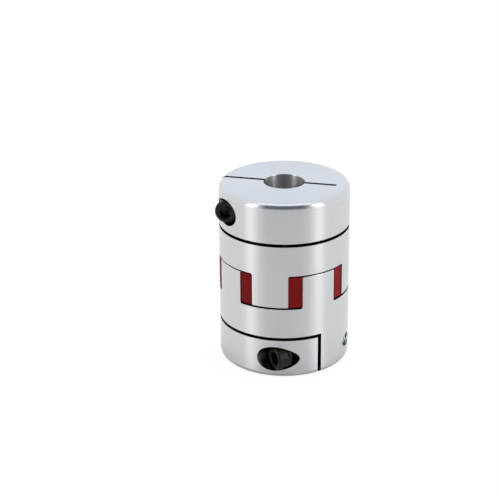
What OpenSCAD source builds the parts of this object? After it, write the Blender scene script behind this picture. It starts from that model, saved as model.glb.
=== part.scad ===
// Zero-backlash jaw coupling for joining two shafts end to end.
// Two equal clamp hubs face each other, their claws interlock, and an elastic
// spider with one leg in every gap between the claws carries the torque.
// Millimetres. The origin is the centre of the lower end face and +Z is the shaft axis.

/* [Overall] */
// Outside diameter of both hubs
outer_d = 55; // [52:0.5:64]
// Length over both end faces
total_len = 78; // [74:0.5:90]
// Diameter of the shaft bore in each hub
bore_d = 17; // [10:0.5:24]
// Radius of the rounded rim at each end face
rim_r = 2; // [0.5:0.1:2.5]
// Chamfer at both mouths of the bore
bore_chamfer = 0.3; // [0.1:0.1:1]

/* [Claws and spider] */
// Distance between the inner faces of the two hubs
face_gap = 15; // [12:0.5:18]
// Number of claws on each hub
claws = 4; // [3:1:5]
// Gap between the tip of a claw and the face of the other hub
tip_gap = 0.7; // [0.3:0.1:1.5]
// Depth of a claw, from the outside of the hub inwards
claw_depth = 10.2; // [8:0.1:11]
// Chamfer around the outside of each claw tip
tip_chamfer = 0.25; // [0.1:0.05:0.6]
// Radius of the fillet at the root of each claw
root_r = 1.2; // [0.8:0.1:1.5]
// Width of a spider leg where it shows between two claws
leg_w = 5.9; // [5:0.1:7]
// Radius of the crowned flank of a leg
flank_r = 18; // [14:0.5:30]
// Clearance between a leg and the claw beside it
flank_gap = 0.05; // [0.03:0.01:0.2]
// Distance that the legs stand back from the outside of the hubs
leg_inset = 0.3; // [0.2:0.1:1]
// Thickness of the ring that joins the legs
ring_t = 3.5; // [2:0.1:5]
// Clearance between the ring and the claws around it
ring_gap = 0.3; // [0.1:0.1:1]
// Distance from each face of a leg down to the face of the ring
ring_step = 1; // [0.2:0.1:2]
// Height of the spacer nubs that keep the legs off the hub faces
nub_h = 0.6; // [0.2:0.1:0.7]
// Diameter of a spacer nub
nub_d = 3; // [2:0.1:4]

/* [Clamp] */
// Height of the clamp arm, from the end face to the cross slit
arm_h = 17.15; // [16:0.05:19]
// Width of the two slits that free the arm
slit_w = 1.5; // [0.8:0.1:1.8]
// Metal left at the closed end of the end-face slit, where the arm flexes
hinge_t = 5.8; // [4:0.1:8]
// Distance from the outside of the hub in to the screw axis
screw_edge = 6.9; // [6.5:0.1:8]
// Height of the screw axis above the end face
screw_h = 8.8; // [8:0.1:9.6]
// Metal between the slit and the seat of the screw head
seat_wall = 7.6; // [6.5:0.1:9]
// Diameter of the counterbore for the screw head
cbore_d = 10.7; // [10.6:0.1:12]
// Diameter of the clearance hole through the arm
clear_d = 6.6; // [6.3:0.1:7]
// Steps of one half claw pitch from the upper screw to the lower one
turn_steps = 3; // [1:2:5]

/* [Clamp screw] */
// Thread diameter
thread_d = 6; // [5.6:0.1:6]
// Radial gap between the plain screw shank and the threaded hole
thread_gap = 0.05; // [0.02:0.01:0.1]
// Length under the head
screw_len = 25; // [22:0.5:28]
// Chamfer at the end of the thread
thread_chamfer = 0.6; // [0.3:0.1:1]
// Diameter of the head
head_d = 9.8; // [9:0.1:10.4]
// Height of the head
head_h = 6; // [5:0.1:7]
// Chamfer around the top of the head
head_chamfer = 0.5; // [0.2:0.1:1]
// Width across flats of the hexagon socket
socket_af = 5; // [4:0.1:6]
// Depth of the hexagon socket
socket_depth = 3; // [2:0.1:4]
// Distance that each screw stands unscrewed from its seat, 0 when tight
backed_out = 3.8; // [0:0.1:5]

/* [Hidden] */
$fn = 96;
// Overshoot of every cutting shape past the surface that it cuts
over = 1;
outer_r = outer_d / 2;
bore_r = bore_d / 2;
body_len = (total_len - face_gap) / 2;
claw_len = face_gap - tip_gap;
claw_in_r = outer_r - claw_depth;
claw_pitch = 360 / claws;
half_pitch = claw_pitch / 2;
ring_r = claw_in_r - ring_gap;
hole_r = ring_r - ring_t;
leg_h = face_gap - 2 * nub_h;
ring_h = leg_h - 2 * ring_step;
// The chamfer of a leg clears the fillet at the root of the claw beside it
leg_edge = root_r - nub_h;
// A leg is widest halfway along a claw and narrows evenly to both ends
leg_mid_r = outer_r - claw_depth / 2;
leg_crown = flank_r - sqrt(flank_r * flank_r - claw_depth * claw_depth / 4);
flank_y = flank_r - leg_w / 2 - leg_crown;
cutter_r = flank_r + flank_gap;
screw_x = outer_r - screw_edge;
seat_y = slit_w / 2 + seat_wall;
upper_angle = 180;
lower_angle = upper_angle + turn_steps * half_pitch;

// Disc with chamfered edges, to cross with others into a leg
module leg_disc(r) {
    edge_z = leg_h / 2 - leg_edge;
    rotate_extrude()
        polygon([[0, -leg_h / 2], [r - leg_edge, -leg_h / 2], [r, -edge_z],
                 [r, edge_z], [r - leg_edge, leg_h / 2], [0, leg_h / 2]]);
}

// One leg along +X: two crossed discs give its crowned flanks and a third its outer face
module leg() {
    difference() {
        intersection() {
            translate([leg_mid_r, -flank_y, 0]) leg_disc(flank_r);
            translate([leg_mid_r, flank_y, 0]) leg_disc(flank_r);
            leg_disc(outer_r - leg_inset);
        }
        cylinder(r = ring_r - ring_t / 2, h = face_gap, center = true);
    }
}

// Cutter for the flank of a claw, with a round lower edge that leaves the root fillet
module flank_cutter() {
    rotate_extrude() {
        square([cutter_r - root_r, claw_len + over]);
        translate([0, root_r]) square([cutter_r, claw_len + over - root_r]);
        translate([cutter_r - root_r, root_r]) circle(root_r);
    }
}

// What is milled away between two claws: two crossed cutters, the gap's middle on +X
module claw_gap() {
    side = half_pitch / 2;
    intersection() {
        rotate(-side) translate([leg_mid_r, flank_y, 0]) flank_cutter();
        rotate(side) translate([leg_mid_r, -flank_y, 0]) flank_cutter();
    }
}

// Half section of the turned hub blank, with its end face on the X axis
module blank_section() {
    blank_len = body_len + claw_len;
    chamfer_r = bore_r + bore_chamfer;
    difference() {
        translate([bore_r, 0]) square([outer_r - bore_r, blank_len]);
        translate([0, body_len]) square([claw_in_r, claw_len + over]);
        difference() {
            translate([outer_r - rim_r, -over]) square(rim_r + over);
            translate([outer_r - rim_r, rim_r]) circle(rim_r);
        }
        polygon([[bore_r - over, 0], [chamfer_r, 0], [bore_r, bore_chamfer], [bore_r - over, bore_chamfer]]);
        polygon([[bore_r - over, body_len], [chamfer_r, body_len],
                 [bore_r, body_len - bore_chamfer], [bore_r - over, body_len - bore_chamfer]]);
        polygon([[outer_r, blank_len - tip_chamfer], [outer_r + over, blank_len - tip_chamfer],
                 [outer_r + over, blank_len], [outer_r - tip_chamfer, blank_len]]);
    }
}

// Slit across the end face and cross slit behind it: together they free the arm
module clamp_slits() {
    reach = outer_r + over;
    translate([hinge_t - outer_r, -slit_w / 2, -over]) cube([2 * reach, slit_w, arm_h + over]);
    translate([-reach, -reach, arm_h]) cube([2 * reach, reach + slit_w / 2, slit_w]);
}

// Counterbore and clearance hole in the arm, threaded hole in the fixed half
module screw_holes() {
    reach = outer_r + over;
    translate([screw_x, 0, screw_h]) {
        translate([0, -seat_y, 0]) rotate([90, 0, 0]) cylinder(d = cbore_d, h = reach - seat_y);
        translate([0, slit_w / 4, 0]) rotate([90, 0, 0]) cylinder(d = clear_d, h = seat_y + over);
        rotate([-90, 0, 0]) cylinder(r = thread_d / 2 + thread_gap, h = reach);
    }
}

// One hub: end face at z = 0, claws upwards, open end of its slit on +X, arm on -Y
module hub() {
    difference() {
        rotate_extrude() blank_section();
        for (i = [0 : claws - 1])
            translate([0, 0, body_len]) rotate((i + 0.5) * claw_pitch) claw_gap();
        clamp_slits();
        screw_holes();
    }
}

// One socket head screw where it belongs in hub()
module clamp_screw() {
    translate([screw_x, -seat_y - backed_out, screw_h])
        rotate([90, 0, 0])
            difference() {
                rotate_extrude()
                    polygon([[0, -screw_len], [thread_d / 2 - thread_chamfer, -screw_len],
                             [thread_d / 2, thread_chamfer - screw_len], [thread_d / 2, 0],
                             [head_d / 2, 0], [head_d / 2, head_h - head_chamfer],
                             [head_d / 2 - head_chamfer, head_h], [0, head_h]]);
                translate([0, 0, head_h - socket_depth])
                    cylinder(d = socket_af / cos(30), h = socket_depth + over, $fn = 6);
            }
}

// Places for what belongs to the lower and to the upper hub, which is turned over
module at_lower() {
    rotate([0, 0, lower_angle]) children();
}

module at_upper() {
    translate([0, 0, total_len]) rotate([180, 0, upper_angle]) children();
}

module lower_hub() {
    color("silver") at_lower() hub();
}

module upper_hub() {
    color("silver") at_upper() hub();
}

module lower_clamp_screw() {
    color("dimgray") at_lower() clamp_screw();
}

module upper_clamp_screw() {
    color("dimgray") at_upper() clamp_screw();
}

// Elastic spider: a ring, a crowned leg for each gap, and nubs on the faces of the legs
module spider() {
    color("firebrick")
        translate([0, 0, total_len / 2])
            difference() {
                union() {
                    cylinder(r = ring_r, h = ring_h, center = true);
                    for (i = [0 : 2 * claws - 1])
                        rotate(upper_angle + (i + 0.5) * half_pitch) {
                            leg();
                            translate([leg_mid_r, 0, 0]) cylinder(d = nub_d, h = face_gap, center = true);
                        }
                }
                cylinder(r = hole_r, h = face_gap, center = true);
            }
}

lower_hub();
spider();
upper_hub();
lower_clamp_screw();
upper_clamp_screw();
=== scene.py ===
import math

import bmesh
import bpy
from mathutils import Matrix, Vector


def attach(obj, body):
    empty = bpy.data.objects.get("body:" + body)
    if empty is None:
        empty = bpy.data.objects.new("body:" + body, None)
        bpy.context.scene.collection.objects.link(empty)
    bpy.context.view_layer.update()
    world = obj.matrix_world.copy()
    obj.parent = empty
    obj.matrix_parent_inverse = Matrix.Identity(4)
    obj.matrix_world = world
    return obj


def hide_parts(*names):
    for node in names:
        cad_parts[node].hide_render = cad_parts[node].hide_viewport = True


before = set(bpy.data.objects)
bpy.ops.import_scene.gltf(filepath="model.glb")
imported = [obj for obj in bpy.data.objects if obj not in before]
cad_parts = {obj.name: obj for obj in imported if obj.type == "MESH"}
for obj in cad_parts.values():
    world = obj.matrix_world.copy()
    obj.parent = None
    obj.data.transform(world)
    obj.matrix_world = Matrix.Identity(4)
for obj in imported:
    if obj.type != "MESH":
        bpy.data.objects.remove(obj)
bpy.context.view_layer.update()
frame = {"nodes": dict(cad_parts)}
print("frame loaded:", ", ".join(frame["nodes"]))

# Pieces are shaped in millimetres and scaled to metres as they are finished
millimetre = 0.001
toMetres = Matrix.Scale(millimetre, 4)

# How every piece is shaped, in millimetres and degrees
bench = {
    "weld": 0.003,        # points this close are merged after a boolean or a bevel
    "seam": 0.001,        # points this close are merged after a spin
    "touch": 0.01,        # points this close to a surface lie on it
    "over": 1,            # overshoot of a cutter past the surface that it cuts
    "broken": (32, 145),  # edges between these angles are broken, but no thinner wedge
    "crease": 50,         # edges past this angle are shaded as sharp
}

# Where the hubs stand: each is shaped with its end face at z = 0 and its claws upwards
coupling = {
    "length": 78.0,      # over both end faces
    "lowerTurn": 315.0,  # degrees about the shaft axis
    "upperTurn": 180.0,
}
lowerPlace = Matrix.Rotation(math.radians(coupling["lowerTurn"]), 4, "Z")
upperPlace = (
    Matrix.Translation((0, 0, coupling["length"]))
    @ Matrix.Rotation(math.radians(coupling["upperTurn"]), 4, "Z")
    @ Matrix.Rotation(math.pi, 4, "X")
)

# The view of the photograph
view = {
    "place": (139.87, -619.40, 315.49),  # mm
    "turn": (67.070, 0.417, 13.861),     # degrees
    "lens": 116.84,
    "sensor": 36,
    "clip": (0.01, 50),                  # metres
}
cameraData = bpy.data.cameras.new("viewCamera")
cameraData.sensor_width = view["sensor"]
cameraData.lens = view["lens"]
cameraData.clip_start, cameraData.clip_end = view["clip"]
camera = bpy.data.objects.new("viewCamera", cameraData)
camera.location = Vector(view["place"]) * millimetre
camera.rotation_euler = [math.radians(a) for a in view["turn"]]
bpy.context.collection.objects.link(camera)
bpy.context.scene.camera = camera


# Bench helpers

def benchObject(bm, name):
    mesh = bpy.data.meshes.new(name)
    bm.to_mesh(mesh)
    bm.free()
    obj = bpy.data.objects.new(name, mesh)
    bpy.context.collection.objects.link(obj)
    return obj


def carve(base, steps):
    # Each step is a boolean operation and the bmesh it works with
    work = benchObject(base, "work")
    helpers = [work]
    for operation, tool in steps:
        helper = benchObject(tool, "tool")
        helpers.append(helper)
        modifier = work.modifiers.new(operation, "BOOLEAN")
        modifier.operation = operation
        modifier.solver = "EXACT"
        modifier.object = helper
    result = bmesh.new()
    result.from_object(work, bpy.context.evaluated_depsgraph_get())
    for helper in helpers:
        mesh = helper.data
        bpy.data.objects.remove(helper)
        bpy.data.meshes.remove(mesh)
    bmesh.ops.remove_doubles(result, verts=result.verts, dist=bench["weld"])
    return result


def facesUp(bm):
    bmesh.ops.recalc_face_normals(bm, faces=bm.faces)
    return bm


def vertsOf(made):
    return [item for item in made["geom"] if isinstance(item, bmesh.types.BMVert)]


def turnedAbout(degrees):
    return Matrix.Rotation(math.radians(degrees), 4, "Z")


def block(bm, low, high):
    low, high = Vector(low), Vector(high)
    size = high - low
    place = Matrix.Translation((low + high) / 2) @ Matrix.Diagonal((size.x, size.y, size.z, 1))
    bmesh.ops.create_cube(bm, size=1, matrix=place)
    return bm


def rod(bm, radius, bottom, top, steps, place=Matrix()):
    middle = Matrix.Translation((0, 0, (bottom + top) / 2))
    bmesh.ops.create_cone(bm, cap_ends=True, segments=steps, radius1=radius, radius2=radius,
                          depth=top - bottom, matrix=place @ middle)
    return bm


def prism(bm, corners, bottom, top):
    face = bm.faces.new(corners)
    bmesh.ops.translate(bm, verts=face.verts, vec=(0, 0, bottom))
    made = bmesh.ops.extrude_face_region(bm, geom=[face])
    bmesh.ops.translate(bm, verts=vertsOf(made), vec=(0, 0, top - bottom))


def roundEdges(bm, edges, width, segments):
    bmesh.ops.bevel(bm, geom=edges, offset=width, offset_type="OFFSET", segments=segments,
                    profile=0.5, affect="EDGES", clamp_overlap=True, material=-1)


def breakEdges(bm, width, segments, isKept=None):
    # A fine round along every sharp edge but the thinnest wedges, as after deburring
    least, most = [math.radians(angle) for angle in bench["broken"]]
    chosen = [
        edge for edge in bm.edges
        if len(edge.link_faces) == 2
        and least < edge.calc_face_angle() < most
        and not (isKept and isKept(edge))
    ]
    roundEdges(bm, chosen, width, segments)
    bmesh.ops.remove_doubles(bm, verts=bm.verts, dist=bench["weld"])
    return bm


def finishPiece(bm, name, place, skins, node, trueNormal=None):
    # A turned surface has a true normal at each of its points, which shades it as a smooth curve
    facesUp(bm)
    exact = [
        trueNormal and trueNormal(loop.vert.co, face.normal)
        for face in bm.faces for loop in face.loops
    ]
    bmesh.ops.transform(bm, matrix=toMetres @ place, verts=bm.verts)
    bm.normal_update()
    crease = math.radians(bench["crease"])
    for face in bm.faces:
        face.smooth = True
    for edge in bm.edges:
        edge.smooth = len(edge.link_faces) == 2 and edge.calc_face_angle() < crease
    obj = benchObject(bm, name)
    for skin in skins:
        obj.data.materials.append(skin)
    shading = obj.modifiers.new("evenShading", "WEIGHTED_NORMAL")
    shading.keep_sharp = True
    even = obj.evaluated_get(bpy.context.evaluated_depsgraph_get()).data
    weighted = [corner.vector.copy() for corner in even.corner_normals]
    obj.modifiers.remove(shading)
    turn = place.to_3x3()
    obj.data.normals_split_custom_set([
        turn @ true if true else other for true, other in zip(exact, weighted)
    ])
    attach(obj, "root")
    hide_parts(node)


# Materials

class Finish:
    # A material with its Principled shader and a short way to add and join nodes
    def __init__(self, name):
        self.material = bpy.data.materials.new(name)
        self.material.use_nodes = True
        self.tree = self.material.node_tree
        self.tree.nodes.clear()
        self.output = self.add("OutputMaterial")
        self.shader = self.add("BsdfPrincipled")
        self.join(self.shader, "BSDF", self.output, "Surface")
        self.place = self.add("TexCoord")

    def add(self, kind, **settings):
        node = self.tree.nodes.new("ShaderNode" + kind)
        for key, value in settings.items():
            setattr(node, key, value)
        return node

    def join(self, source, outlet, target, inlet):
        self.tree.links.new(source.outputs[outlet], target.inputs[inlet])

    def drive(self, source, inlet):
        # An inlet of the Principled shader follows a (node, outlet) pair
        self.join(source[0], source[1], self.shader, inlet)

    def compute(self, operation, first, second=0):
        # One Math node; each side is a number or a (node, outlet) pair
        node = self.add("Math", operation=operation)
        for index, side in enumerate((first, second)):
            if isinstance(side, tuple):
                self.join(side[0], side[1], node, index)
            else:
                node.inputs[index].default_value = side
        return (node, "Value")

    def span(self, source, low, high, newLow, newHigh):
        node = self.add("MapRange", interpolation_type="SMOOTHSTEP")
        self.join(source[0], source[1], node, "Value")
        for inlet, value in (("From Min", low), ("From Max", high),
                             ("To Min", newLow), ("To Max", newHigh)):
            node.inputs[inlet].default_value = value
        return (node, "Result")

    def grain(self, scale, detail=2.0, along=None, stretch=(1, 1, 1)):
        # Noise through the piece, or along one measured length only
        if along:
            node = self.add("TexNoise", noise_dimensions="1D")
            self.join(along[0], along[1], node, "W")
        else:
            node = self.add("TexNoise", noise_dimensions="3D")
            shift = self.add("Mapping")
            shift.inputs["Scale"].default_value = stretch
            self.join(self.place, "Object", shift, "Vector")
            self.join(shift, "Vector", node, "Vector")
        node.inputs["Scale"].default_value = scale
        node.inputs["Detail"].default_value = detail
        return (node, "Fac")

    def blend(self, factor, first, second):
        # Each side is a colour or a (node, outlet) pair
        node = self.add("Mix", data_type="RGBA")
        self.join(factor[0], factor[1], node, 0)
        for index, side in ((6, first), (7, second)):
            if len(side) == 2:
                self.join(side[0], side[1], node, index)
            else:
                node.inputs[index].default_value = (*side, 1)
        return (node, 2)

    def bump(self, height, distance, strength, after=None):
        node = self.add("Bump")
        node.inputs["Distance"].default_value = distance
        node.inputs["Strength"].default_value = strength
        self.join(height[0], height[1], node, "Height")
        if after:
            self.join(after[0], after[1], node, "Normal")
        return (node, "Normal")


# The part of a noise's values that is spread over a finish's own range
spread = {
    "middle": (0.3, 0.7),
    "most": (0.2, 0.8),
    "upper": (0.45, 0.75),
}

hubFinish = {
    "bright": (0.65, 0.668, 0.683),
    "shade": (0.62, 0.638, 0.653),
    # Colour of the upward faces: the metal's tone tinted bluer, a painted reflection of the bluish
    # room above
    "faced": (0.638, 0.682, 0.75),
    "facedShade": 0.96,         # share of the faced colour in its darker clouds
    # Colour of slits, counterbores, thread flanks and claw flanks: painted shade of these recesses,
    # far darker than the metal
    "milled": (0.12, 0.124, 0.13),
    "milledWorn": 1.25,         # share of the milled colour in its lighter clouds
    "roughness": 0.33,
    "facedRoughness": 0.26,
    "polished": 0.19,           # roughness of the rounded rims
    "bored": 0.37,              # roughness of the bore
    "milledRoughness": (0.26, 0.36),
    "uneven": (-0.01, 0.02),    # how far marks and clouds change the roughness
    "anisotropy": 0.95,
    "facedAnisotropy": 0.6,
    "quarterTurn": 0.25,        # lays the streaks across the feed marks
    "feed": 0.05,               # strength of the feed marks
    "facedFeed": 0.004,
    "fineMarks": 7000,          # noise scale, per metre
    "fineDepth": 0.00002,       # metres
    "coarseMarks": 900,
    "coarseDepth": 0.00004,
    "clouds": 60,
    "milledClouds": 400,
    "milledMarks": (900, 900, 7000),
    "milledFeed": 0.25,
    "boreEdge": (0.0086, 0.0089),  # distance from the axis, in metres, where the bore ends
    # The upright part of a surface's normal where one finish ends and the next begins, and where
    # the painted blue reflection of upward faces begins
    "paintedSkyFrom": (0.5, 0.98),
    "rimFrom": (0.05, 0.3),
    "rimTo": (0.93, 0.99),
}


def turnedAluminium(name, bright, shade, roughness, anisotropy, feed):
    finish = hubFinish
    skin = Finish(name)
    shader = skin.shader
    shader.inputs["Metallic"].default_value = 1.0
    shader.inputs["Anisotropic"].default_value = anisotropy
    shader.inputs["Anisotropic Rotation"].default_value = finish["quarterTurn"]
    # The tangent runs round the shaft axis, square to the place's own radius
    around = skin.add("VectorMath", operation="CROSS_PRODUCT")
    around.inputs[0].default_value = (0, 0, 1)
    skin.join(skin.place, "Object", around, 1)
    even = skin.add("VectorMath", operation="NORMALIZE")
    skin.join(around, "Vector", even, 0)
    skin.join(even, "Vector", shader, "Tangent")
    # Feed marks run round the axis on the wall and as rings on the end faces
    split = skin.add("SeparateXYZ")
    skin.join(skin.place, "Object", split, "Vector")
    flat = skin.add("CombineXYZ")
    skin.join(split, "X", flat, "X")
    skin.join(split, "Y", flat, "Y")
    radius = skin.add("VectorMath", operation="LENGTH")
    skin.join(flat, "Vector", radius, "Vector")
    travel = skin.compute("ADD", (radius, "Value"), (split, "Z"))
    fine = skin.grain(finish["fineMarks"], 1.0, along=travel)
    coarse = skin.grain(finish["coarseMarks"], along=travel)
    cloud = skin.grain(finish["clouds"], 3.0)
    tone = skin.compute("ADD", skin.span(coarse, *spread["middle"], 0.0, 0.5),
                        skin.span(cloud, *spread["middle"], 0.0, 0.5))
    lean = skin.add("SeparateXYZ")
    skin.join(skin.place, "Normal", lean, "Vector")
    slope = skin.compute("ABSOLUTE", (lean, "Z"))
    # Upward faces take the bluer faced colour by which way they point: a painted reflection
    metal = skin.blend(tone, shade, bright)
    isUpwardWithPaintedSky = skin.span(slope, *finish["paintedSkyFrom"], 0.0, 1.0)
    skin.drive(skin.blend(isUpwardWithPaintedSky, metal, finish["faced"]), "Base Color")
    # The rounded rims are polished: their normals lean between level and upright
    isRim = skin.compute("MULTIPLY", skin.span(slope, *finish["rimFrom"], 0.0, 1.0),
                         skin.span(slope, *finish["rimTo"], 1.0, 0.0))
    isBore = skin.span((radius, "Value"), *finish["boreEdge"], 1.0, 0.0)
    plain = skin.span(isBore, 0.0, 1.0, roughness, finish["bored"])
    smoother = skin.compute("MULTIPLY", isRim, finish["polished"] - roughness)
    uneven = skin.compute("ADD", skin.span(coarse, *spread["most"], *finish["uneven"]),
                          skin.span(cloud, *spread["middle"], *finish["uneven"]))
    skin.drive(skin.compute("ADD", uneven, skin.compute("ADD", plain, smoother)), "Roughness")
    marks = skin.bump(fine, finish["fineDepth"], feed)
    skin.drive(skin.bump(coarse, finish["coarseDepth"], feed, after=marks), "Normal")
    return skin.material


def milledAluminiumInPaintedShade():
    # Slit walls, counterbores, thread flanks and the flanks of the claws, coloured dark as painted
    # shade of these recesses
    finish = hubFinish
    skin = Finish("milledAluminiumInPaintedShade")
    skin.shader.inputs["Metallic"].default_value = 1.0
    cloud = skin.grain(finish["milledClouds"], 3.0)
    worn = [finish["milledWorn"] * channel for channel in finish["milled"]]
    isWorn = skin.span(cloud, *spread["middle"], 0.0, 1.0)
    skin.drive(skin.blend(isWorn, finish["milled"], worn), "Base Color")
    skin.drive(skin.span(cloud, *spread["most"], *finish["milledRoughness"]), "Roughness")
    marks = skin.grain(1, stretch=finish["milledMarks"])
    skin.drive(skin.bump(marks, finish["fineDepth"], finish["milledFeed"]), "Normal")
    return skin.material


def mattFinish(name, finish):
    # A material that is no bare metal: two tones in clouds, and a fine grain
    skin = Finish(name)
    skin.shader.inputs["Specular IOR Level"].default_value = finish["specular"]
    cloud = skin.grain(finish["clouds"], 3.0)
    isWorn = skin.span(cloud, *spread[finish["cloudPart"]], 0.0, 1.0)
    skin.drive(skin.blend(isWorn, finish["deep"], finish["colour"]), "Base Color")
    uneven = skin.span(cloud, *spread["most"], *finish["uneven"])
    skin.drive(skin.compute("ADD", uneven, finish["roughness"]), "Roughness")
    grain = skin.grain(finish["grain"])
    skin.drive(skin.bump(grain, finish["grainDepth"], finish["grainStrength"]), "Normal")
    return skin.material


spiderFinish = {
    "colour": (0.203, 0.004, 0.005),
    "deep": (0.165, 0.003, 0.004),
    "specular": 0.1,
    "clouds": 180,             # noise scale, per metre
    "cloudPart": "middle",
    "roughness": 0.5,
    "uneven": (-0.06, 0.08),
    "grain": 2400,             # pores
    "grainDepth": 0.00003,     # metres
    "grainStrength": 0.25,
}
screwFinish = {
    "colour": (0.007, 0.007, 0.008),  # where the black oxide is worn
    "deep": (0.002, 0.002, 0.0025),
    "specular": 0.22,
    "clouds": 500,
    "cloudPart": "upper",
    "roughness": 0.22,
    "uneven": (-0.05, 0.1),
    "grain": 5000,
    "grainDepth": 0.00002,
    "grainStrength": 0.2,
}

wallSkin = turnedAluminium("turnedAluminium", hubFinish["bright"], hubFinish["shade"],
                           hubFinish["roughness"], hubFinish["anisotropy"], hubFinish["feed"])
# The end faces' material carries the same painted blue reflection in both its tones
facedShade = [hubFinish["facedShade"] * channel for channel in hubFinish["faced"]]
endSkin = turnedAluminium("facedAluminiumPaintedSky", hubFinish["faced"], facedShade,
                          hubFinish["facedRoughness"], hubFinish["facedAnisotropy"],
                          hubFinish["facedFeed"])
paintedShadeMilledSkin = milledAluminiumInPaintedShade()
spiderSkin = mattFinish("castElastomer", spiderFinish)
screwSkin = mattFinish("blackOxide", screwFinish)
print("finishes mixed")


# Clamp screw, shaped with the underside of its head at z = 0 and its thread downwards
clampScrew = {
    "headRadius": 4.9,
    "headHeight": 6.0,
    "ridges": 48,         # knurl around the head
    "ridgeDepth": 0.16,
    "knurlInset": 0.01,   # how far the ridges stand back from the head's radius
    "socketFlats": 5.0,
    "socketDepth": 3.0,
    "mouthRadius": 3.1,   # countersunk mouth of the socket
    "mouthSlope": 0.55,
    "length": 25.0,
    "threadRadius": 2.97,
    "rootRadius": 2.387,
    "pitch": 1.0,
    "tooth": (0.167, 0.521, 0.646),  # of a pitch: where a flank, the crest and the next flank start
    "tipRadius": 2.3,
    "neck": 1.0,          # plain length under the head
    "neckRadius": 3.0,
    "threadSteps": 36,    # faces per turn
    # Its axis on a hub: off the shaft axis, and up from the end face
    "across": 20.6,
    "up": 8.8,
    "seat": 8.35,         # distance of the head's seat from the middle of the slit
    "backedOut": 3.8,     # distance that the head stands unscrewed from its seat
}
underHead = clampScrew["seat"] + clampScrew["backedOut"]
screwPlace = (
    Matrix.Translation((clampScrew["across"], -underHead, clampScrew["up"]))
    @ Matrix.Rotation(math.pi / 2, 4, "X")
)


def fromScrewAxis(point):
    return math.hypot(point.x - clampScrew["across"], point.z - clampScrew["up"])


def threadedRod(bottom, top, grow, tip=None):
    # The crests stand at the same heights whatever the ends, so a screw fits its hole
    pitch, steps = clampScrew["pitch"], clampScrew["threadSteps"]
    root, crest = clampScrew["rootRadius"] + grow, clampScrew["threadRadius"] + grow
    climb, level, fall = clampScrew["tooth"]
    bm = bmesh.new()
    start = (math.floor(bottom / pitch) - 1) * pitch
    turns = math.ceil((top - start) / pitch) + 1
    rise = [(root, 0), (root, climb), (crest, level), (crest, fall), (root, 1)]
    tooth = [bm.verts.new((r, 0, start + z * pitch)) for r, z in rise]
    for low, high in zip(tooth, tooth[1:]):
        bm.edges.new((low, high))
    bmesh.ops.spin(bm, geom=bm.verts[:] + bm.edges[:], cent=(0, 0, 0), axis=(0, 0, 1),
                   dvec=(0, 0, pitch / steps), angle=math.tau * turns, steps=steps * turns)
    bmesh.ops.remove_doubles(bm, verts=bm.verts, dist=bench["seam"])
    if tip:
        for vert in bm.verts:
            across = vert.co.xy.length
            limit = tip + max(0, vert.co.z - bottom)
            if across > limit:
                vert.co.x *= limit / across
                vert.co.y *= limit / across
    for height, side in ((bottom, -1), (top, 1)):
        bmesh.ops.bisect_plane(bm, geom=bm.verts[:] + bm.edges[:] + bm.faces[:], dist=0.0001,
                               plane_co=(0, 0, height), plane_no=(0, 0, side), clear_outer=True)
    bmesh.ops.holes_fill(bm, edges=[edge for edge in bm.edges if edge.is_boundary], sides=0)
    return facesUp(bm)


def screwHead():
    size = clampScrew
    count = 2 * size["ridges"]
    radius, height, neck = size["headRadius"], size["headHeight"], size["neckRadius"]
    flats, mouth = size["socketFlats"] / 2, size["mouthRadius"]
    floorOf = height - size["socketDepth"]

    def hexagon(angle):
        return flats / math.cos(angle % (math.pi / 3) - math.pi / 6)

    def knurled(angle):
        ridge = round(angle / math.tau * count) % 2
        return radius - size["knurlInset"] - ridge * size["ridgeDepth"]

    def countersunk(angle):
        return height - 0.05 - (mouth - hexagon(angle)) * size["mouthSlope"]

    # Radius and height of each step, or how they follow the angle
    fillet = [(neck, -0.25), (neck + 0.1, -0.07), (neck + 0.25, 0.0)]
    underside = [(radius - 0.35, 0.0), (radius - 0.1, 0.12), (radius - 0.1, 1.3)]
    grip = [(radius - 0.2, 1.45), (knurled, 1.6), (knurled, height - 0.8)]
    crown = [
        (radius - 0.16, height - 0.62), (radius - 0.1, height - 0.5),
        (radius - 0.22, height - 0.28), (radius - 0.42, height - 0.1), (radius - 0.68, height),
    ]
    socket = [
        (mouth, height), (hexagon, countersunk), (hexagon, floorOf),
        (1.2, floorOf - 0.5), (0.2, floorOf - 0.9),
    ]
    bm = bmesh.new()
    bmesh.ops.create_circle(bm, cap_ends=True, segments=count, radius=neck,
                            matrix=Matrix.Translation((0, 0, -size["neck"] - 0.3)))
    rim = bm.edges[:]
    for across, level in fillet + underside + grip + crown + socket:
        made = bmesh.ops.extrude_edge_only(bm, edges=rim)
        for vert in vertsOf(made):
            angle = math.atan2(vert.co.y, vert.co.x) % math.tau
            wide = across(angle) if callable(across) else across
            high = level(angle) if callable(level) else level
            vert.co = (wide * math.cos(angle), wide * math.sin(angle), high)
        rim = [item for item in made["geom"] if isinstance(item, bmesh.types.BMEdge)]
    bmesh.ops.contextual_create(bm, geom=rim)
    return facesUp(bm)


def clampScrewShape():
    thread = threadedRod(-clampScrew["length"], -clampScrew["neck"], 0, clampScrew["tipRadius"])
    return carve(screwHead(), [("UNION", thread)])


screwShape = clampScrewShape()
for name, node, place in (
    ("lowerCapScrew", "lower_clamp_screw", lowerPlace),
    ("upperCapScrew", "upper_clamp_screw", upperPlace),
):
    finishPiece(screwShape.copy(), name, place @ screwPlace, [screwSkin], node)
screwShape.free()
print("cap screws cut")


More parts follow.
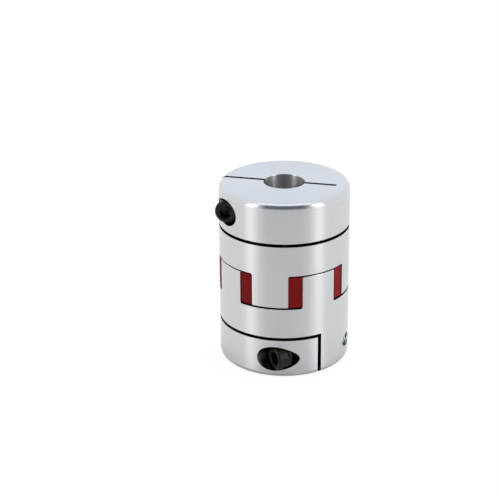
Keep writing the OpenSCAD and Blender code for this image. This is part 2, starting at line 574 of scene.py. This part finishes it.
# Spider
spider = {
    "legs": 8,
    "firstLeg": 22.5,      # degrees
    "legMiddle": 22.4,     # distance of the middle of a leg from the shaft axis
    "legHalfWidth": 3.6,
    "flankRadius": 18.0,
    "flankSpan": (66, 114),  # degrees of the flank's circle
    "flankSteps": 11,
    "legHeight": 13.5,
    "reach": 27.2,
    "ringRadius": 17.0,
    "ringHeight": 11.8,
    "holeRadius": 13.5,
    "nubRadius": 1.5,
    "nubHeight": 15.0,     # over both nubs of a leg
    "middle": 39.0,        # height of the middle of the spider
    "round": 0.5,
    "roundSteps": 3,
    "cornerRound": 0.65,   # the upright edges of the outer faces
    "cornerSteps": 4,
    "cornerAngle": 0.6,    # radians; a facet's edge is flatter than such a corner
    # Faces around each turned shape
    "ringSteps": 192,
    "reachSteps": 96,
    "holeSteps": 160,
    "nubSteps": 32,
}


def flank(bm, turn, side, grow, span, steps):
    # One crowned flank of the leg that stands at this turn, as a chain of vertices
    first = len(bm.verts)
    crown = spider["flankRadius"] - spider["legHalfWidth"]
    middle = turnedAbout(turn).to_3x3() @ Vector((spider["legMiddle"], -side * crown, 0))
    heading = math.radians(turn + side * span[0])
    direction = Vector((math.cos(heading), math.sin(heading), 0))
    start = middle + (spider["flankRadius"] + grow) * direction
    bmesh.ops.spin(bm, geom=[bm.verts.new(start)], cent=middle, axis=(0, 0, 1),
                   angle=math.radians(side * (span[1] - span[0])), steps=steps)
    return list(bm.verts)[first:]


def spiderShape():
    size = spider
    span, steps = size["flankSpan"], size["flankSteps"]
    half, ringHalf, tall = size["legHeight"] / 2, size["ringHeight"] / 2, size["nubHeight"]
    legs, nubs = bmesh.new(), bmesh.new()
    for index in range(size["legs"]):
        turn = size["firstLeg"] + index * 360 / size["legs"]
        corners = flank(legs, turn, 1, 0, span, steps)
        corners += flank(legs, turn, -1, 0, span, steps)[::-1]
        prism(legs, corners, -half, half)
        middle = turnedAbout(turn) @ Matrix.Translation((size["legMiddle"], 0, 0))
        rod(nubs, size["nubRadius"], -tall / 2, tall / 2, size["nubSteps"], middle)
    ring = rod(bmesh.new(), size["ringRadius"], -ringHalf, ringHalf, size["ringSteps"])
    reach = rod(bmesh.new(), size["reach"], -tall, tall, size["reachSteps"])
    hole = rod(bmesh.new(), size["holeRadius"], -tall, tall, size["holeSteps"])
    shape = carve(ring, [
        ("UNION", facesUp(legs)), ("UNION", nubs), ("INTERSECT", reach), ("DIFFERENCE", hole),
    ])
    corners = [
        edge for edge in shape.edges
        if min(vert.co.xy.length for vert in edge.verts) > size["reach"] - bench["touch"]
        and (edge.verts[0].co - edge.verts[1].co).xy.length < bench["touch"]
        and edge.calc_face_angle() > size["cornerAngle"]
    ]
    roundEdges(shape, corners, size["cornerRound"], size["cornerSteps"])
    return breakEdges(shape, size["round"], size["roundSteps"])


finishPiece(spiderShape(), "mouldedSpider", Matrix.Translation((0, 0, spider["middle"])),
            [spiderSkin], "spider")
print("spider moulded")


# Hub
hub = {
    "outerRadius": 27.5,
    "boreRadius": 8.5,
    "boreChamfer": 0.3,
    "rimRadius": 2.6,
    "rimSteps": 12,
    "bodyLength": 31.5,
    "clawLength": 14.3,
    "clawInner": 17.3,
    "tipChamfer": 0.25,
    "claws": 4,
    "flankGap": 0.14,
    "flankSpan": (50, 112),  # degrees of the cutter's circle
    "flankSteps": 30,
    "armHeight": 17.2,
    "crossSlit": 1.4,
    "endSlit": (-0.7, 1.0),  # from the arm to the fixed half
    "hinge": 5.4,
    "clawRoot": 1.5,       # fillet at the root of each claw
    "rootSteps": 6,
    "counterbore": 5.5,
    "counterboreSteps": 96,
    "clearance": 3.3,
    "clearanceSteps": 64,
    "threadGap": 0.08,
    "edgeBreak": 0.08,
    "breakSteps": 2,
    "steps": 240,          # faces around the blank
}
hub["top"] = hub["bodyLength"] + hub["clawLength"]

# How far a face may lie off a surface and still count as part of it, in millimetres
nearTo = {
    "end": 0.05,
    "rim": 0.1,
    "bore": 0.4,
    "thread": 0.2,
    "screwAxis": 3.2,     # for the crests of the thread
    "cornerOnWall": 0.004,
    "cornerOnRim": 0.006,
    "cornerOnEnd": 0.002,
}

# How closely a face's normal has to follow a direction, as the cosine of the angle
facing = {
    "along": 0.995,       # the shaft axis, for the faced end
    "outwards": 0.97,     # away from the shaft axis, for the wall
    "aside": 0.6,         # the same, for the bore and the tips' chamfers
    "thread": 0.3,        # at most this along the screw's axis, for the crests
    "sameSide": 0.7,      # the lathe's true normal
}


def hubBlank():
    size = hub
    bm = bmesh.new()
    corners = [
        bm.verts.new((r, 0, z)) for r, z in (
            (size["boreRadius"], 0), (size["outerRadius"], 0), (size["outerRadius"], size["top"]),
            (size["clawInner"], size["top"]), (size["clawInner"], size["bodyLength"]),
            (size["boreRadius"], size["bodyLength"]),
        )
    ]
    bm.faces.new(corners)
    mouth, rim, tip, inner = corners[0], corners[1], corners[2], corners[5]
    for chosen, width, steps in (
        ([mouth, inner], size["boreChamfer"], 1),
        ([tip], size["tipChamfer"], 1),
        ([rim], size["rimRadius"], size["rimSteps"]),
    ):
        bmesh.ops.bevel(bm, geom=chosen, offset=width, offset_type="OFFSET", segments=steps,
                        profile=0.5, affect="VERTICES", clamp_overlap=False, material=-1)
    bmesh.ops.delete(bm, geom=bm.faces[:], context="FACES_ONLY")
    bmesh.ops.spin(bm, geom=bm.verts[:] + bm.edges[:], cent=(0, 0, 0), axis=(0, 0, 1),
                   angle=math.tau, steps=size["steps"], use_merge=True)
    bmesh.ops.remove_doubles(bm, verts=bm.verts, dist=bench["seam"])
    return facesUp(bm)


def clawGaps():
    # What is milled away between the claws, one prism for each gap
    size = hub
    bm = bmesh.new()
    pitch = 360 / size["claws"]
    shared = (size["flankGap"], size["flankSpan"], size["flankSteps"])
    for index in range(size["claws"]):
        middle = (index + 0.5) * pitch
        corners = flank(bm, middle + pitch / 4, 1, *shared)
        corners += flank(bm, middle - pitch / 4, -1, *shared)[::-1]
        prism(bm, corners, size["bodyLength"], size["top"] + bench["over"])
    facesUp(bm)
    # The cutter's lower corners are round, which leaves the fillet at the root of each claw
    roots = [
        edge for edge in bm.edges
        if max(vert.co.z for vert in edge.verts) < size["bodyLength"] + bench["touch"]
    ]
    roundEdges(bm, roots, size["clawRoot"], size["rootSteps"])
    return facesUp(bm)


def hubShape():
    size = hub
    over, arm = bench["over"], size["armHeight"]
    reach = size["outerRadius"] + over
    armSide, fixedSide = size["endSlit"]
    endSlit = block(bmesh.new(), (size["hinge"] - size["outerRadius"], armSide, -over),
                    (reach, fixedSide, arm + size["crossSlit"] / 2))
    crossSlit = block(bmesh.new(), (-reach, -reach, arm),
                      (reach, fixedSide, arm + size["crossSlit"]))
    counterbore = rod(bmesh.new(), size["counterbore"], -clampScrew["backedOut"], reach,
                      size["counterboreSteps"], screwPlace)
    clearance = rod(bmesh.new(), size["clearance"], -underHead, over - clampScrew["backedOut"],
                    size["clearanceSteps"], screwPlace)
    tap = threadedRod(-underHead - reach, -underHead, size["threadGap"])
    bmesh.ops.transform(tap, matrix=screwPlace, verts=tap.verts)
    tools = (clawGaps(), crossSlit, endSlit, counterbore, clearance, tap)
    shape = carve(hubBlank(), [("DIFFERENCE", tool) for tool in tools])
    threadReach = clampScrew["threadRadius"] + size["threadGap"] + nearTo["thread"]

    def isThread(edge):
        middle = (edge.verts[0].co + edge.verts[1].co) / 2
        return middle.y > 0 and fromScrewAxis(middle) < threadReach

    breakEdges(shape, size["edgeBreak"], size["breakSteps"], isThread)
    for face in shape.faces:
        face.material_index = finishOf(face)
    return shape


def finishOf(face):
    # 0 for the turned wall, rim, bore and thread crests, 1 for the faced end, 2 for what was
    # milled, coloured dark as painted shade
    size = hub
    middle, normal = face.calc_center_median(), face.normal
    across = middle.xy.length
    if normal.z < -facing["along"] and middle.z < nearTo["end"]:
        return 1
    rimInner = size["outerRadius"] - size["rimRadius"]
    onRim = across > rimInner - nearTo["rim"] and middle.z < size["rimRadius"] + nearTo["rim"]
    outward = abs(normal.x * middle.x + normal.y * middle.y) / across
    onTip = outward > facing["aside"] and middle.z > size["top"] - size["tipChamfer"]
    isOutside = across > size["outerRadius"] - size["tipChamfer"]
    onWall = (outward > facing["outwards"] or onTip) and isOutside
    onBore = outward > facing["aside"] and across < size["boreRadius"] + nearTo["bore"]
    isLevel = abs(normal.y) < facing["thread"]
    onCrest = middle.y > 0 and fromScrewAxis(middle) < nearTo["screwAxis"] and isLevel
    return 0 if onRim or onWall or onBore or onCrest else 2


def turnedNormal(place, normal):
    # The lathe's true normal for a corner on the wall, the rim, the bore or an end face
    size = hub
    across = place.xy.length
    outward = Vector((place.x / across, place.y / across, 0))
    centre = size["outerRadius"] - size["rimRadius"]
    rise = place.z - size["rimRadius"]
    offRim = abs(math.hypot(across - centre, rise) - size["rimRadius"])
    offTop = min(abs(place.z - size["bodyLength"]), abs(place.z - size["top"]))
    found = None
    if abs(across - size["outerRadius"]) < nearTo["cornerOnWall"] and rise >= 0:
        found = outward
    elif abs(across - size["boreRadius"]) < nearTo["cornerOnWall"]:
        found = -outward
    elif rise < 0 and across > centre and offRim < nearTo["cornerOnRim"]:
        found = (outward * (across - centre) + Vector((0, 0, rise))).normalized()
    elif abs(place.z) < nearTo["cornerOnEnd"]:
        found = Vector((0, 0, -1))
    elif offTop < nearTo["cornerOnEnd"]:
        found = Vector((0, 0, 1))
    return found if found and found.dot(normal) > facing["sameSide"] else None


hubSkins = [wallSkin, endSkin, paintedShadeMilledSkin]
hubBody = hubShape()
for name, node, place in (
    ("lowerClampHub", "lower_hub", lowerPlace),
    ("upperClampHub", "upper_hub", upperPlace),
):
    finishPiece(hubBody.copy(), name, place, hubSkins, node, turnedNormal)
hubBody.free()
print("hubs turned and milled")


# Studio
studio = {
    "floorSize": 12.0,        # metres
    "floorDrop": 0.00005,     # metres that the floor lies under the object
    "floorTone": 0.92,
    "floorRoughness": 0.9,
    "floorGlow": 1.04,
    "floorGlowShare": 0.88,   # of the glow in what the camera sees
    # Nearer the axis than this, metal mirrors less glow: a painted shadow round the object, seen
    # only in reflections
    "paintedShadowReach": (0.028, 0.045),  # metres from the axis where metal begins to mirror the glow
    "ambient": 0.55,          # the world, for diffuse light
    "curtainShade": (0.127, 0.138, 0.167),  # the dark end of the room, behind and above the camera
    "curtainRadius": 2.2,     # metres
    "curtainArc": (120, 100),  # degrees aside and upwards
    "curtainSteps": (60, 50),
    "curtainFade": (32, 52),  # degrees aside, from full to none
    "curtainTop": (68, 78),   # degrees upwards, from full to none
}

# Degrees from the camera's side to the right of the picture, degrees upwards, distance, width and
# height in metres, power in watts, and whether metal mirrors the box
softboxes = {
    "leftBox": (-61, 19, 1.6, 0.45, 1.5, 3.65, True),
    "rightBox": (61, 19, 1.6, 0.45, 1.5, 3.65, True),
    "topBox": (0, 100, 1.6, 1.6, 1.0, 7.0, False),
    "edgeBox": (0, 91, 1.5, 1.3, 0.3, 1.3, True),   # lines the near rim
    "fillBox": (100, 6, 1.6, 0.8, 0.3, 12.0, False),  # brightens the spider on the right
}


def paleFloor():
    skin = Finish("paleFloor")
    skin.shader.inputs["Base Color"].default_value = (*[studio["floorTone"]] * 3, 1)
    skin.shader.inputs["Roughness"].default_value = studio["floorRoughness"]
    skin.shader.inputs["Specular IOR Level"].default_value = 0.0
    glow = skin.add("Emission")
    glow.inputs["Strength"].default_value = studio["floorGlow"]
    mixed = skin.add("MixShader")
    # The camera sees a white floor; what metal mirrors of it is less white close to the object, a
    # painted shadow over the floor's own lit shade
    rays = skin.add("LightPath")
    away = skin.add("VectorMath", operation="LENGTH")
    skin.join(skin.place, "Object", away, "Vector")
    pastPaintedShadow = skin.span((away, "Value"), *studio["paintedShadowReach"], 0.0, 1.0)
    mirrored = skin.compute("MULTIPLY", (rays, "Is Glossy Ray"), pastPaintedShadow)
    seen = skin.compute("MAXIMUM", (rays, "Is Camera Ray"), (rays, "Is Transmission Ray"))
    glows = skin.compute("MAXIMUM", seen, mirrored)
    weight = skin.compute("MULTIPLY", glows, studio["floorGlowShare"])
    skin.join(weight[0], weight[1], mixed, "Fac")
    skin.join(skin.shader, "BSDF", mixed, 1)
    skin.join(glow, "Emission", mixed, 2)
    skin.join(mixed, "Shader", skin.output, "Surface")
    return skin.material


def layFloor():
    bm = bmesh.new()
    bmesh.ops.create_grid(bm, x_segments=1, y_segments=1, size=studio["floorSize"] / 2,
                          matrix=Matrix.Translation((0, 0, -studio["floorDrop"])))
    obj = benchObject(bm, "floor")
    obj.data.materials.append(paleFloor())


def lightWorld():
    # White where it is seen or mirrored, dimmer as a light for diffuse surfaces
    world = bpy.data.worlds.new("studioWorld")
    bpy.context.scene.world = world
    world.use_nodes = True
    nodes, links = world.node_tree.nodes, world.node_tree.links
    sky = nodes["Background"]
    sky.inputs["Color"].default_value = (1, 1, 1, 1)
    rays = nodes.new("ShaderNodeLightPath")
    seen = nodes.new("ShaderNodeMath")
    seen.operation = "MAXIMUM"
    links.new(rays.outputs["Is Camera Ray"], seen.inputs[0])
    links.new(rays.outputs["Is Glossy Ray"], seen.inputs[1])
    through = nodes.new("ShaderNodeMath")
    through.operation = "MAXIMUM"
    links.new(seen.outputs[0], through.inputs[0])
    links.new(rays.outputs["Is Transmission Ray"], through.inputs[1])
    level = nodes.new("ShaderNodeMapRange")
    level.inputs["To Min"].default_value = studio["ambient"]
    level.inputs["To Max"].default_value = 1.0
    links.new(through.outputs[0], level.inputs["Value"])
    links.new(level.outputs["Result"], sky.inputs["Strength"])


def softbox(name, azimuth, elevation, distance, wide, high, power, isMirrored):
    data = bpy.data.lights.new(name, "AREA")
    data.shape = "RECTANGLE"
    data.size, data.size_y = wide, high
    data.energy = power
    lamp = bpy.data.objects.new(name, data)
    turn = math.radians(azimuth + view["turn"][2])
    rise = math.radians(elevation)
    lamp.location = distance * Vector(
        (math.sin(turn) * math.cos(rise), -math.cos(turn) * math.cos(rise), math.sin(rise)))
    lamp.rotation_euler = lamp.location.to_track_quat("Z", "Y").to_euler()
    lamp.visible_camera = False
    lamp.visible_glossy = isMirrored
    bpy.context.collection.objects.link(lamp)


def curtainSkin(turn):
    skin = Finish("darkCurtain")
    skin.tree.nodes.remove(skin.shader)
    shade = skin.add("Emission")
    shade.inputs["Color"].default_value = (*studio["curtainShade"], 1)
    clear = skin.add("BsdfTransparent")
    mixed = skin.add("MixShader")
    split = skin.add("SeparateXYZ")
    fromFront = skin.add("Mapping")
    fromFront.inputs["Rotation"].default_value = (0, 0, -turn)
    skin.join(skin.place, "Object", fromFront, "Vector")
    skin.join(fromFront, "Vector", split, "Vector")
    # Height counts half for the angle aside, so the dark part narrows upwards
    front = skin.compute("MULTIPLY", (split, "Y"), -1)
    rise = skin.compute("MULTIPLY", (split, "Z"), 0.5)
    frontSquare = skin.compute("MULTIPLY", front, front)
    riseSquare = skin.compute("MULTIPLY", rise, rise)
    ahead = skin.compute("SQRT", skin.compute("ADD", frontSquare, riseSquare))
    aside = skin.compute("ABSOLUTE", skin.compute("ARCTAN2", (split, "X"), ahead))
    upwards = skin.compute("ARCTAN2", (split, "Z"), front)
    fade = skin.span(aside, *[math.radians(a) for a in studio["curtainFade"]], 1.0, 0.0)
    lift = skin.span(upwards, *[math.radians(a) for a in studio["curtainTop"]], 1.0, 0.0)
    cover = skin.compute("MULTIPLY", fade, lift)
    skin.join(cover[0], cover[1], mixed, "Fac")
    skin.join(clear, "BSDF", mixed, 1)
    skin.join(shade, "Emission", mixed, 2)
    skin.join(mixed, "Shader", skin.output, "Surface")
    return skin.material


def hangCurtain():
    # Part of a dome in front of the object, dark in the middle and fading out all round
    bm = bmesh.new()
    turn = math.radians(view["turn"][2])
    wide, tall = [math.radians(angle) for angle in studio["curtainArc"]]
    stepsAside, stepsUp = studio["curtainSteps"]
    foot = bm.verts.new((0, -studio["curtainRadius"], 0))
    bmesh.ops.spin(bm, geom=[foot], cent=(0, 0, 0), axis=(-1, 0, 0), angle=tall, steps=stepsUp)
    bmesh.ops.rotate(bm, verts=bm.verts, cent=(0, 0, 0),
                     matrix=Matrix.Rotation(turn - wide / 2, 3, "Z"))
    bmesh.ops.spin(bm, geom=bm.verts[:] + bm.edges[:], cent=(0, 0, 0), axis=(0, 0, 1),
                   angle=wide, steps=stepsAside)
    obj = benchObject(bm, "curtain")
    obj.data.materials.append(curtainSkin(turn))
    obj.visible_camera = False
    obj.visible_diffuse = False
    obj.visible_shadow = False


layFloor()
lightWorld()
for name, values in softboxes.items():
    softbox(name, *values)
hangCurtain()
bpy.context.scene.view_settings.view_transform = "Standard"
print("studio lit")
